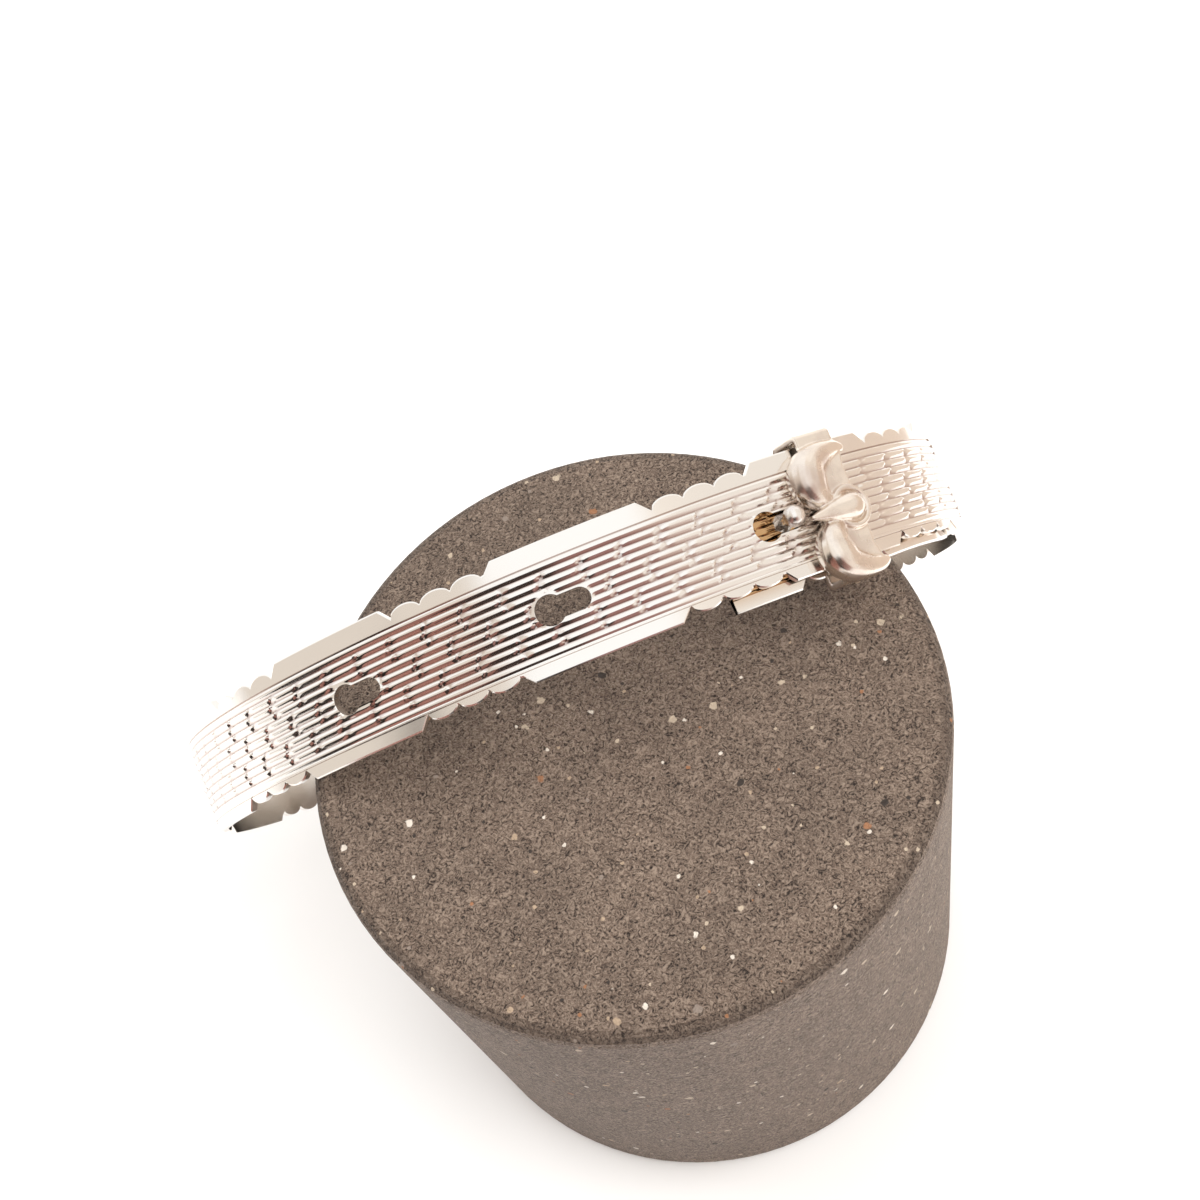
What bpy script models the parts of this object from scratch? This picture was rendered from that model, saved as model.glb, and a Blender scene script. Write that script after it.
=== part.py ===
"""A sheet-silver buckle bracelet, fastened, leaning over a plain round stone stand.

The bracelet is one long strip. Its inner end, the tongue, lies under its outer end, the strap.
The strip is laid out flat, where s is the length along it and v the height across it, and is then
bent round an oval. The oval stands in its own X-Z plane with the front at +Z and v along +Y,
and s = 0 is the top of the front, counted towards +X.
"""
import bpy
import bmesh
import numpy as np
from math import ceil, cos, floor, pi, radians, sin, sqrt
from mathutils import Matrix, Vector

MM = 0.001

# Stand
STAND_RADIUS = 22.5 * MM
STAND_HEIGHT = 41.5 * MM
STAND_RIM_ROUNDING = 0.9 * MM
STAND_SIDES = 96

# Oval that the outside of the bracelet follows
OVAL_LENGTH = 65.3 * MM
OVAL_DEPTH = 53.4 * MM
OVAL_STEPS = 1440
MERGE_DISTANCE = 0.001 * MM

# Strip
STRIP_WIDTH = 8.73 * MM
STRIP_THICKNESS = 0.5 * MM
LAYER_GAP = 0.3 * MM
TONGUE_START = 15.3 * MM
TONGUE_SLANT = 0.4 * MM
TONGUE_SIDE_PLAY = 0.65 * MM
TONGUE_BACK_PLAY = 0.3 * MM
TONGUE_SETTLE_START = 21.0 * MM
TONGUE_SETTLE_LENGTH = 14.0 * MM
STRAP_END = 42.0 * MM
STRAP_END_ROUNDING = 2.4 * MM
STRAP_TIP_SHARE = 0.35
LAYER_BLEND_START = 6.0 * MM
LAYER_BLEND_LENGTH = 60.0 * MM

# Edge of tabs and scallops
EDGE_PERIOD = 18.4 * MM
TAB_LENGTH = 11.2 * MM
TAB_CHAMFER = 0.8 * MM
NOTCH_DEPTH = 1.0 * MM
SCALLOP_DROP = 0.25 * MM
SCALLOPS_PER_GROUP = 3
SCALLOP_SEGMENTS = 6
TAB_SEGMENTS = 4
FRONT_TAB_ENDS = (-18.05 * MM, -6.81 * MM, 0.2 * MM, 12.45 * MM, 19.43 * MM)
TONGUE_TAB_CENTRE = 16.2 * MM
BACK_PATTERN_LEAD = 9.4 * MM

# Keyholes, each a round hole that runs into a slot
KEYHOLE_COUNT = 3
KEYHOLE_PITCH = 15.9 * MM
KEYHOLE_LAST = 19.6 * MM
KEYHOLE_RADIUS = 1.07 * MM
KEYHOLE_SLOT_LENGTH = 2.1 * MM
KEYHOLE_SLOT_HALF_WIDTH = 0.77 * MM
KEYHOLE_DROP = 0.25 * MM
HOLE_SEGMENTS = 6
FINEST_STEP = 0.04 * MM

# Stud, riveted through the tongue
STUD_BALL_RADIUS = 0.78 * MM
STUD_POST_RADIUS = 0.38 * MM
STUD_FOOT_RADIUS = 1.0 * MM
STUD_FOOT_THICKNESS = 0.35 * MM
STUD_BALL_LIFT = 0.12 * MM
STUD_SIDES = 16
STUD_BALL_STEPS = 8
SLOT_END_PLAY = 0.8 * MM

# Buckle loop, which goes round both layers
FIT_GAP = 0.3 * MM
SIDE_GAP = 0.25 * MM
BEND_ALLOWANCE = 0.12 * MM
LOOP_LENGTH = 3.0 * MM
LOOP_PAST_FRONT = 0.65 * MM
LOOP_WALL = 0.45 * MM
LOOP_ROUNDING = 0.4 * MM
LOOP_ROUNDING_STEPS = 3
BUCKLE_FROM_STUD = 3.3 * MM

# Cast front of the buckle: two mirrored lobes, two flat fields, a drop and its collar
FRONT_LENGTH = 5.4 * MM
FRONT_HALF_SPAN = 4.9 * MM
FRONT_DROP = 0.55 * MM
LOBE_HALF_WIDTH = 1.35 * MM
LOBE_HEIGHT = 1.3 * MM
FIELD_HEIGHT = 0.25 * MM
DROP_HALF_WIDTH = 1.0 * MM
DROP_HEIGHT = 1.15 * MM
COLLAR_RADIUS = 1.5 * MM
COLLAR_HEIGHT = 0.75 * MM
COLLAR_CENTRE_ALONG = 0.70
COLLAR_SIDES = 16
COLLAR_TURN = radians(5.0)
SECTION_SEGMENTS = 8
DOME_EDGE_SHARE = 0.25
FIELD_SINK = 0.225 * MM
LOBE_SINK = 0.36 * MM
COLLAR_SINK = 0.27 * MM
DROP_SINK = 0.135 * MM

# How the bracelet lies on the stand
SIDE_TILT = radians(-8.5)
TURN = radians(-1.7)
SHIFT_ALONG_X = -1.7 * MM
REST_GAP = 0.3 * MM
STEEPEST_LEAN = radians(60.0)
LEAN_TRIALS = 30

# Centre line of a lobe, from its free tip to its root beside the drop.
# along: share of FRONT_LENGTH; up: share of FRONT_HALF_SPAN;
# width: share of LOBE_HALF_WIDTH; height: share of LOBE_HEIGHT
LOBE_SECTIONS = [
    {"along": 0.97, "up": 0.86, "width": 0.22, "height": 0.30},
    {"along": 0.90, "up": 0.87, "width": 0.38, "height": 0.52},
    {"along": 0.72, "up": 0.87, "width": 0.50, "height": 0.70},
    {"along": 0.51, "up": 0.83, "width": 0.68, "height": 0.88},
    {"along": 0.33, "up": 0.72, "width": 0.90, "height": 1.00},
    {"along": 0.25, "up": 0.54, "width": 1.00, "height": 1.00},
    {"along": 0.29, "up": 0.36, "width": 0.86, "height": 0.95},
    {"along": 0.37, "up": 0.22, "width": 0.60, "height": 0.80},
    {"along": 0.46, "up": 0.12, "width": 0.34, "height": 0.55},
]

# The drop, from its pointed tip beside the stud to its round end.
# along: share of FRONT_LENGTH; width: share of DROP_HALF_WIDTH; height: share of DROP_HEIGHT
DROP_SECTIONS = [
    {"along": 0.05, "width": 0.20, "height": 0.45},
    {"along": 0.20, "width": 0.45, "height": 0.72},
    {"along": 0.38, "width": 0.72, "height": 0.92},
    {"along": 0.58, "width": 0.95, "height": 1.00},
    {"along": 0.72, "width": 1.00, "height": 0.97},
    {"along": 0.82, "width": 0.80, "height": 0.85},
    {"along": 0.88, "width": 0.45, "height": 0.62},
]

# Outline of a flat field, which fills a lobe's curve.
# along: share of FRONT_LENGTH; up: share of FRONT_HALF_SPAN
FIELD_OUTLINE = [
    {"along": 0.30, "up": 0.04},
    {"along": 0.86, "up": 0.04},
    {"along": 0.87, "up": 0.36},
    {"along": 0.86, "up": 0.58},
    {"along": 0.90, "up": 0.84},
    {"along": 0.50, "up": 0.86},
    {"along": 0.26, "up": 0.60},
]


def clear_scene():
    for item in list(bpy.data.objects):
        bpy.data.objects.remove(item)


def metal_material(name, colour, roughness):
    material = bpy.data.materials.new(name)
    material.use_nodes = True
    shader = material.node_tree.nodes["Principled BSDF"]
    shader.inputs["Base Color"].default_value = (*colour, 1.0)
    shader.inputs["Roughness"].default_value = roughness
    shader.inputs["Metallic"].default_value = 1.0
    return material


def stone_material(name, colour, roughness):
    material = metal_material(name, colour, roughness)
    material.node_tree.nodes["Principled BSDF"].inputs["Metallic"].default_value = 0.0
    return material


def new_object(name, shape, material):
    """Turn a bmesh into a named object with its faces pointing out."""
    bmesh.ops.recalc_face_normals(shape, faces=shape.faces)
    mesh = bpy.data.meshes.new(name)
    shape.to_mesh(mesh)
    shape.free()
    item = bpy.data.objects.new(name, mesh)
    bpy.context.collection.objects.link(item)
    if material:
        mesh.materials.append(material)
    return item


class Oval:
    """The oval that the strip's outer face follows, measured by length along it."""

    def __init__(self):
        angles = np.linspace(0.0, 2.0 * pi, OVAL_STEPS + 1)
        x = OVAL_LENGTH / 2 * np.sin(angles)
        z = OVAL_DEPTH / 2 * np.cos(angles)
        steps = np.hypot(np.diff(x), np.diff(z))
        self.length = np.concatenate([[0.0], np.cumsum(steps)])
        self.angles = angles
        self.perimeter = float(self.length[-1])

    def frame(self, s):
        """Point, direction of growing s and outward normal at the length s."""
        angle = float(np.interp(s % self.perimeter, self.length, self.angles))
        point = Vector((OVAL_LENGTH / 2 * sin(angle), 0.0, OVAL_DEPTH / 2 * cos(angle)))
        along = Vector((OVAL_LENGTH * cos(angle), 0.0, -OVAL_DEPTH * sin(angle))).normalized()
        outward = Vector((-along.z, 0.0, along.x))
        return point, along, outward


def smooth_step(value):
    value = min(max(value, 0.0), 1.0)
    return value * value * (3.0 - 2.0 * value)


def outer_share(s):
    """0 where the strip is the inner layer, 1 once it has come out to the oval itself."""
    return smooth_step((s - STRAP_END - LAYER_BLEND_START) / LAYER_BLEND_LENGTH)


def side_play(s):
    """How far the inner layer sits below the outer one, most of all at the tongue's end."""
    settled = smooth_step((s - TONGUE_SETTLE_START) / TONGUE_SETTLE_LENGTH)
    play = TONGUE_SIDE_PLAY + (TONGUE_BACK_PLAY - TONGUE_SIDE_PLAY) * settled
    return play * (1.0 - outer_share(s))


def edge_marks(oval):
    """Lengths along the strip with their edge phase, from the tongue to the strap's free end.

    Phase counts repeats of the edge pattern, with whole numbers at the centres of the tabs. The
    tabs at the front keep their own ends, and the hidden back shares out what is left.
    """
    half_tab = TAB_LENGTH / 2 / EDGE_PERIOD
    front = [oval.perimeter + end for end in FRONT_TAB_ENDS]
    front_phases = [-1.0 - half_tab, -1.0 + half_tab, -half_tab, half_tab, 1.0 - half_tab]
    back_start = front[0] - BACK_PATTERN_LEAD
    back_phase = front_phases[0] - BACK_PATTERN_LEAD / EDGE_PERIOD
    repeats = round((back_start - TONGUE_TAB_CENTRE) / EDGE_PERIOD - back_phase)
    before = TONGUE_TAB_CENTRE - EDGE_PERIOD
    after = front[-1] + 2 * EDGE_PERIOD
    lengths = [before, TONGUE_TAB_CENTRE, back_start] + front + [after]
    phases = [-repeats - 1.0, -float(repeats), back_phase] + front_phases + [3.0 - half_tab]
    return lengths, phases


def edge_inset(phase):
    """How far the edge is cut in from the strip's full width at a phase of the pattern."""
    from_tab = abs(phase - round(phase)) * EDGE_PERIOD
    half_tab = TAB_LENGTH / 2
    if from_tab <= half_tab - TAB_CHAMFER:
        return 0.0
    if from_tab <= half_tab:
        return NOTCH_DEPTH * (from_tab - half_tab + TAB_CHAMFER) / TAB_CHAMFER
    scallop = (EDGE_PERIOD - TAB_LENGTH) / SCALLOPS_PER_GROUP
    place = ((from_tab - half_tab) / scallop) % 1.0
    rise = sqrt(max(0.0, 1.0 - (2.0 * place - 1.0) ** 2))
    return NOTCH_DEPTH - (NOTCH_DEPTH - SCALLOP_DROP) * rise


def edge_phases():
    """Phases within one repeat at which the outline needs a point."""
    half_tab = TAB_LENGTH / 2
    straight = half_tab - TAB_CHAMFER
    marks = [-straight + 2 * straight * step / TAB_SEGMENTS for step in range(TAB_SEGMENTS + 1)]
    scallop = (EDGE_PERIOD - TAB_LENGTH) / SCALLOPS_PER_GROUP
    for group in range(SCALLOPS_PER_GROUP):
        for step in range(SCALLOP_SEGMENTS + 1):
            share = (1.0 - cos(pi * step / SCALLOP_SEGMENTS)) / 2
            marks.append(half_tab + scallop * (group + share))
    return [mark / EDGE_PERIOD for mark in marks]


def keyholes(oval):
    """Centre of each round hole, counted on the strip as a whole."""
    last = oval.perimeter + KEYHOLE_LAST
    return [last - KEYHOLE_PITCH * number for number in range(KEYHOLE_COUNT)]


def stud_place():
    """Length from the top of the front to the stud, pulled against the last slot's end."""
    slot_end = KEYHOLE_LAST + KEYHOLE_SLOT_LENGTH + KEYHOLE_SLOT_HALF_WIDTH
    return slot_end - SLOT_END_PLAY - STUD_POST_RADIUS


def hole_half_height(s, oval):
    """Half the height of the opening in the strip at a length s, or 0."""
    height = 0.0
    for centre in keyholes(oval):
        slot_centre = centre + KEYHOLE_SLOT_LENGTH
        if abs(s - centre) < KEYHOLE_RADIUS:
            height = max(height, sqrt(KEYHOLE_RADIUS ** 2 - (s - centre) ** 2))
        if centre < s < slot_centre:
            height = max(height, KEYHOLE_SLOT_HALF_WIDTH)
        elif abs(s - slot_centre) < KEYHOLE_SLOT_HALF_WIDTH:
            height = max(height, sqrt(KEYHOLE_SLOT_HALF_WIDTH ** 2 - (s - slot_centre) ** 2))
    rivet = STUD_POST_RADIUS + FIT_GAP
    if abs(s - stud_place()) < rivet:
        height = max(height, sqrt(rivet ** 2 - (s - stud_place()) ** 2))
    return height if height > FINEST_STEP else 0.0


def arc_columns(centre, radius):
    return [centre - radius * cos(pi * step / HOLE_SEGMENTS) for step in range(HOLE_SEGMENTS + 1)]


def column_lengths(oval):
    """All lengths along the strip at which its flat pattern has a column of points."""
    start, end = TONGUE_START, oval.perimeter + STRAP_END
    lengths, phases = edge_marks(oval)
    columns = [start, end]
    for repeat in range(floor(phases[0]), ceil(phases[-1]) + 1):
        columns += [float(np.interp(repeat + mark, phases, lengths)) for mark in edge_phases()]
    for step in range(SCALLOP_SEGMENTS):
        columns.append(end - STRAP_END_ROUNDING * (1.0 - sin(pi / 2 * step / SCALLOP_SEGMENTS)))
    for centre in keyholes(oval):
        slot_centre = centre + KEYHOLE_SLOT_LENGTH
        columns += arc_columns(centre, KEYHOLE_RADIUS)
        slot_end = arc_columns(slot_centre, KEYHOLE_SLOT_HALF_WIDTH)
        columns += [s for s in slot_end if s > centre + KEYHOLE_RADIUS]
    columns += arc_columns(stud_place(), STUD_POST_RADIUS + FIT_GAP)
    inside = sorted(s for s in columns if start <= s <= end)
    kept = [inside[0]]
    for s in inside[1:]:
        if s - kept[-1] > FINEST_STEP:
            kept.append(s)
    kept[-1] = end
    return kept


def strip_edges(s, oval):
    """Lowest and highest v of the strip at a length s, before its side play."""
    lengths, phases = edge_marks(oval)
    half = STRIP_WIDTH / 2 - edge_inset(float(np.interp(s, lengths, phases)))
    from_end = oval.perimeter + STRAP_END - s
    if from_end < STRAP_END_ROUNDING:
        share = 1.0 - from_end / STRAP_END_ROUNDING
        rounding = (1.0 - STRAP_TIP_SHARE) * sqrt(1.0 - share * share)
        half = min(half, STRIP_WIDTH / 2 * (STRAP_TIP_SHARE + rounding))
    return -half, half


def strip_point(s, v, oval):
    """Bend a point of the flat strip round the oval, at the middle of its thickness."""
    point, along, outward = oval.frame(s)
    depth = STRIP_THICKNESS / 2 + (STRIP_THICKNESS + LAYER_GAP) * (1.0 - outer_share(s))
    return point - outward * depth + Vector((0.0, v - side_play(s), 0.0))


def column_points(s, oval, first):
    low, high = strip_edges(s, oval)
    hole = hole_half_height(s, oval)
    middle = side_play(s) - KEYHOLE_DROP
    rows = [middle - hole, middle + hole] if hole > 0.0 else [middle]
    slant = TONGUE_SLANT if first else 0.0
    points = [strip_point(s + slant, low, oval)]
    points += [strip_point(s, row, oval) for row in rows]
    points.append(strip_point(s - slant, high, oval))
    return points


def make_band(oval, material):
    """The strip as one sheet with its keyholes left open, given its thickness by Solidify."""
    shape = bmesh.new()
    before = None
    for s in column_lengths(oval):
        points = column_points(s, oval, before is None)
        column = [shape.verts.new(point) for point in points]
        if before:
            lower = [before[0], before[1], column[1], column[0]]
            upper = [before[-2], before[-1], column[-1], column[-2]]
            shape.faces.new(lower)
            shape.faces.new(upper)
        before = column
    band = new_object("band", shape, material)
    wall = band.modifiers.new("Thickness", "SOLIDIFY")
    wall.thickness = STRIP_THICKNESS
    wall.offset = 0.0
    band.data.shade_smooth()
    band.data.set_sharp_from_angle(angle=radians(30))
    return band


def turned_shape(profile, sides):
    """Turn a profile of (radius, height) pairs round the local Z axis."""
    shape = bmesh.new()
    corners = [shape.verts.new((radius, 0.0, height)) for radius, height in profile]
    edges = [shape.edges.new(pair) for pair in zip(corners, corners[1:])]
    bmesh.ops.spin(shape, geom=corners + edges, cent=(0, 0, 0), axis=(0, 0, 1), angle=2 * pi,
                   steps=sides, use_merge=True)
    bmesh.ops.remove_doubles(shape, verts=shape.verts, dist=MERGE_DISTANCE)
    return shape


def seat(item, s, oval):
    """Place an object with its local X along the strip, Y across it and Z out of it."""
    point, along, outward = oval.frame(s)
    across = outward.cross(along)
    turn = Matrix((along, across, outward)).transposed().to_4x4()
    item.matrix_world = Matrix.Translation(point) @ turn


def make_stud(oval, material):
    """A ball on a post, with a foot on the inside of the tongue."""
    inner_face = -(2 * STRIP_THICKNESS + LAYER_GAP)
    foot_top = inner_face - FIT_GAP
    ball = STUD_BALL_LIFT + STUD_BALL_RADIUS
    first_angle = pi - np.arcsin(STUD_POST_RADIUS / STUD_BALL_RADIUS)
    profile = [
        (0.0, foot_top - STUD_FOOT_THICKNESS),
        (STUD_FOOT_RADIUS, foot_top - STUD_FOOT_THICKNESS),
        (STUD_FOOT_RADIUS, foot_top),
        (STUD_POST_RADIUS, foot_top),
    ]
    for step in range(STUD_BALL_STEPS + 1):
        angle = first_angle * (1.0 - step / STUD_BALL_STEPS)
        profile.append((STUD_BALL_RADIUS * sin(angle), ball + STUD_BALL_RADIUS * cos(angle)))
    stud = new_object("stud", turned_shape(profile, STUD_SIDES), material)
    seat(stud, stud_place(), oval)
    stud.location.y -= KEYHOLE_DROP
    stud.data.shade_smooth()
    stud.data.set_sharp_from_angle(angle=radians(40))
    return stud


def extruded(outline, low, high):
    """A straight prism on an outline of (x, y) points, from height low to high."""
    shape = bmesh.new()
    base = shape.faces.new([shape.verts.new((x, y, low)) for x, y in outline])
    raised = bmesh.ops.extrude_face_region(shape, geom=[base])
    lifted = [part for part in raised["geom"] if isinstance(part, bmesh.types.BMVert)]
    bmesh.ops.translate(shape, verts=lifted, vec=(0, 0, high - low))
    return shape


def make_loop(material):
    """A flat tube round both layers of the strip, rounded along its outer corners.

    Its middle lies a little past the front's middle, so the lobes hang over it beside the stud.
    """
    gap = FIT_GAP + BEND_ALLOWANCE
    low_y = -(STRIP_WIDTH / 2 + TONGUE_SIDE_PLAY + SIDE_GAP)
    high_y = STRIP_WIDTH / 2 + SIDE_GAP
    low_z = -(2 * STRIP_THICKNESS + LAYER_GAP + gap)
    high_z = gap
    shape = bmesh.new()
    rings = []
    for x in (LOOP_PAST_FRONT - LOOP_LENGTH / 2, LOOP_PAST_FRONT + LOOP_LENGTH / 2):
        for grow in (0.0, LOOP_WALL):
            corners = ((low_y - grow, low_z - grow), (high_y + grow, low_z - grow),
                       (high_y + grow, high_z + grow), (low_y - grow, high_z + grow))
            rings.append([shape.verts.new((x, y, z)) for y, z in corners])
    inner_left, outer_left, inner_right, outer_right = rings
    walls = ((inner_left, outer_left), (outer_left, outer_right), (outer_right, inner_right),
             (inner_right, inner_left))
    for near, far in walls:
        for corner in range(4):
            following = (corner + 1) % 4
            shape.faces.new((near[corner], near[following], far[following], far[corner]))
    loop = new_object("buckle", shape, material)
    rounding = bmesh.new()
    rounding.from_mesh(loop.data)
    long_edges = [edge for edge in rounding.edges
                  if is_outer_corner(edge, low_y - LOOP_WALL, high_y + LOOP_WALL)]
    bmesh.ops.bevel(rounding, geom=long_edges, offset=LOOP_ROUNDING, segments=LOOP_ROUNDING_STEPS,
                    profile=0.5, affect="EDGES")
    rounding.to_mesh(loop.data)
    rounding.free()
    return loop


def is_outer_corner(edge, low_y, high_y):
    """True for the outer edges that run along the strip."""
    start, end = edge.verts[0].co, edge.verts[1].co
    runs_along = abs(start.x - end.x) > LOOP_LENGTH / 2
    on_side = min(abs(start.y - low_y), abs(start.y - high_y)) < MERGE_DISTANCE
    return runs_along and on_side


def swept_dome(sections, base):
    """A round-topped bar through sections of (x, y, half width, height), flat below."""
    shape = bmesh.new()
    rings = []
    places = [Vector((x, y, 0.0)) for x, y, half, height in sections]
    for number, (x, y, half, height) in enumerate(sections):
        ahead = places[min(number + 1, len(places) - 1)]
        behind = places[max(number - 1, 0)]
        direction = (ahead - behind).normalized()
        across = Vector((-direction.y, direction.x, 0.0))
        ring = []
        for step in range(SECTION_SEGMENTS + 1):
            angle = pi * step / SECTION_SEGMENTS
            place = places[number] + across * (half * cos(angle))
            place.z = base + height * (DOME_EDGE_SHARE + (1.0 - DOME_EDGE_SHARE) * sin(angle))
            ring.append(shape.verts.new(place))
        for sign in (-1.0, 1.0):
            place = places[number] + across * (half * sign)
            place.z = base
            ring.append(shape.verts.new(place))
        rings.append(ring)
    count = len(rings[0])
    for near, far in zip(rings, rings[1:]):
        for corner in range(count):
            following = (corner + 1) % count
            shape.faces.new((near[corner], near[following], far[following], far[corner]))
    shape.faces.new(rings[0])
    shape.faces.new(rings[-1])
    return shape


def add_to(loop, name, shape):
    """Join a shape to the buckle's loop by a union, and hide the shape itself."""
    part = new_object(name, shape, None)
    part.parent = loop
    part.hide_render = True
    part.display_type = "WIRE"
    union = loop.modifiers.new(name, "BOOLEAN")
    union.operation = "UNION"
    union.object = part


def front_x(share):
    return FRONT_LENGTH * (share - 0.5)


def front_y(share):
    """Height across the strip, counted from the front's middle, which sits low on the loop."""
    return FRONT_HALF_SPAN * share - TONGUE_SIDE_PLAY / 2 - FRONT_DROP


def lobe_sections(side):
    return [(front_x(row["along"]), front_y(side * row["up"]),
             LOBE_HALF_WIDTH * row["width"], LOBE_HEIGHT * row["height"]) for row in LOBE_SECTIONS]


def collar_outline():
    """A ring of points whose first is turned a little, so that none lies on the drop's axis."""
    angles = [2 * pi * step / COLLAR_SIDES + COLLAR_TURN for step in range(COLLAR_SIDES)]
    centre_x, centre_y = front_x(COLLAR_CENTRE_ALONG), front_y(0.0)
    return [(centre_x + COLLAR_RADIUS * cos(angle), centre_y + COLLAR_RADIUS * sin(angle))
            for angle in angles]


def make_buckle(oval, material):
    """The cast front and the loop behind it, soldered into one solid."""
    loop = make_loop(material)
    plate_top = FIT_GAP + BEND_ALLOWANCE + LOOP_WALL
    for side, name in ((1.0, "upper"), (-1.0, "lower")):
        outline = [(front_x(row["along"]), front_y(side * row["up"])) for row in FIELD_OUTLINE]
        add_to(loop, name + "_field", extruded(outline, plate_top - FIELD_SINK, plate_top + FIELD_HEIGHT))
        add_to(loop, name + "_lobe", swept_dome(lobe_sections(side), plate_top - LOBE_SINK))
    collar = extruded(collar_outline(), plate_top - COLLAR_SINK, plate_top + COLLAR_HEIGHT)
    add_to(loop, "collar", collar)
    drop = [(front_x(row["along"]), front_y(0.0), DROP_HALF_WIDTH * row["width"],
             DROP_HEIGHT * row["height"]) for row in DROP_SECTIONS]
    add_to(loop, "drop", swept_dome(drop, plate_top - DROP_SINK))
    seat(loop, stud_place() + BUCKLE_FROM_STUD, oval)
    return loop


def make_stand(material):
    """A plain round block with a slightly rounded rim."""
    bpy.ops.mesh.primitive_cylinder_add(vertices=STAND_SIDES, radius=STAND_RADIUS,
                                        depth=STAND_HEIGHT, location=(0, 0, STAND_HEIGHT / 2))
    stand = bpy.context.object
    stand.name = "stand"
    stand.data.name = "stand"
    stand.data.materials.append(material)
    rim = stand.modifiers.new("Rim", "BEVEL")
    rim.width = STAND_RIM_ROUNDING
    rim.segments = 3
    rim.limit_method = "ANGLE"
    rim.angle_limit = radians(60)
    stand.data.shade_smooth()
    stand.data.set_sharp_from_angle(angle=radians(60))
    return stand


def lean_matrix(lean):
    turned = Matrix.Rotation(TURN, 4, "Z") @ Matrix.Rotation(SIDE_TILT, 4, "Y")
    return turned @ Matrix.Rotation(lean, 4, "X")


def lay_at(points, lean, gap):
    """Stand the leaning points on the table, behind the stand and just clear of its side.

    Returns the place of the bracelet's middle and the smallest gap of its front to the stand.
    """
    turn = np.array(lean_matrix(lean).to_3x3())
    placed = points @ turn.T
    placed[:, 0] += SHIFT_ALONG_X
    lift = gap - placed[:, 2].min()
    placed[:, 2] += lift
    reach = STAND_RADIUS + gap
    back = placed[(points[:, 2] < 0) & (placed[:, 2] < STAND_HEIGHT) & (abs(placed[:, 0]) < reach)]
    shift = float((np.sqrt(reach ** 2 - back[:, 0] ** 2) - back[:, 1]).max())
    placed[:, 1] += shift
    front = placed[points[:, 2] >= 0]
    outside = np.hypot(front[:, 0], front[:, 1]) - STAND_RADIUS
    above = front[:, 2] - STAND_HEIGHT
    return Vector((SHIFT_ALONG_X, shift, lift)), float(np.maximum(outside, above).min())


def rest_on_stand(band):
    """Lean the bracelet forward until its front lies on the stand, and return its place."""
    points = np.array([vertex.co[:] for vertex in band.data.vertices])
    gap = REST_GAP + STRIP_THICKNESS / 2
    low, high = 0.0, STEEPEST_LEAN
    for _ in range(LEAN_TRIALS):
        middle = (low + high) / 2
        if lay_at(points, middle, gap)[1] > gap:
            low = middle
        else:
            high = middle
    place = lay_at(points, low, gap)[0]
    return Matrix.Translation(place) @ lean_matrix(low)


def main():
    clear_scene()
    silver = metal_material("polished_silver", (0.85, 0.81, 0.77), 0.18)
    cast_silver = metal_material("cast_silver", (0.83, 0.78, 0.73), 0.2)
    stud_silver = metal_material("stud_silver", (0.87, 0.84, 0.81), 0.15)
    speckled_stone = stone_material("speckled_stone", (0.16, 0.12, 0.095), 0.8)
    oval = Oval()
    band = make_band(oval, silver)
    stud = make_stud(oval, stud_silver)
    buckle = make_buckle(oval, cast_silver)
    make_stand(speckled_stone)
    bracelet = bpy.data.objects.new("bracelet", None)
    bpy.context.collection.objects.link(bracelet)
    for piece in (band, stud, buckle):
        piece.parent = bracelet
    bracelet.matrix_world = rest_on_stand(band)


main()
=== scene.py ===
"""Looks of a sheet-silver buckle bracelet that leans over a plain round stone stand."""
from math import asin, cos, pi, radians, sin

import bpy
import numpy as np
from bpy.props import FloatProperty, FloatVectorProperty, PointerProperty
from mathutils import Matrix, Vector


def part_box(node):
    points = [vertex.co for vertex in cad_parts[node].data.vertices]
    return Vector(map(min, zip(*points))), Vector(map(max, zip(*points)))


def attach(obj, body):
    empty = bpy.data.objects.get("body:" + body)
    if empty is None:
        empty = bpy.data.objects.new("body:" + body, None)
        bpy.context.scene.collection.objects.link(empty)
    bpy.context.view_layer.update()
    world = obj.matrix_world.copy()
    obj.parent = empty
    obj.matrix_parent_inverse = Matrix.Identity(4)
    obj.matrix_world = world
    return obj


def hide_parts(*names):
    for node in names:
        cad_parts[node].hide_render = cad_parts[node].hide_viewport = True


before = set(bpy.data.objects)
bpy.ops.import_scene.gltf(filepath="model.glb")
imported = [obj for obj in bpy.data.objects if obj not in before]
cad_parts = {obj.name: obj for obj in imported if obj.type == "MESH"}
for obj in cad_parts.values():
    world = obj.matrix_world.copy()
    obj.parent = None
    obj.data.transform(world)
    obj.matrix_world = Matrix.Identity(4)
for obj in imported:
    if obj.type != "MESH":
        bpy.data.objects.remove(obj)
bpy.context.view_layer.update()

bl_info = {
    "name": "Buckle bracelet on a stone stand",
    "version": (1, 0, 0),
    "blender": (4, 5, 0),
    "location": "View3D > Sidebar > Bracelet",
    "description": "Builds the embossed strap, the cast buckle, the stud and the stone finish",
    "category": "Add Mesh",
}

MM = 0.001
MERGE_DISTANCE = 0.001 * MM

# The loop: its outer face follows an oval, and s counts along it from the top of the front
OVAL_LENGTH = 65.3 * MM
OVAL_DEPTH = 53.4 * MM
OVAL_STEPS = 2880
LEAN = radians(24.58)
SIDE_TILT = radians(-8.5)
TURN = radians(-1.7)

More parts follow.
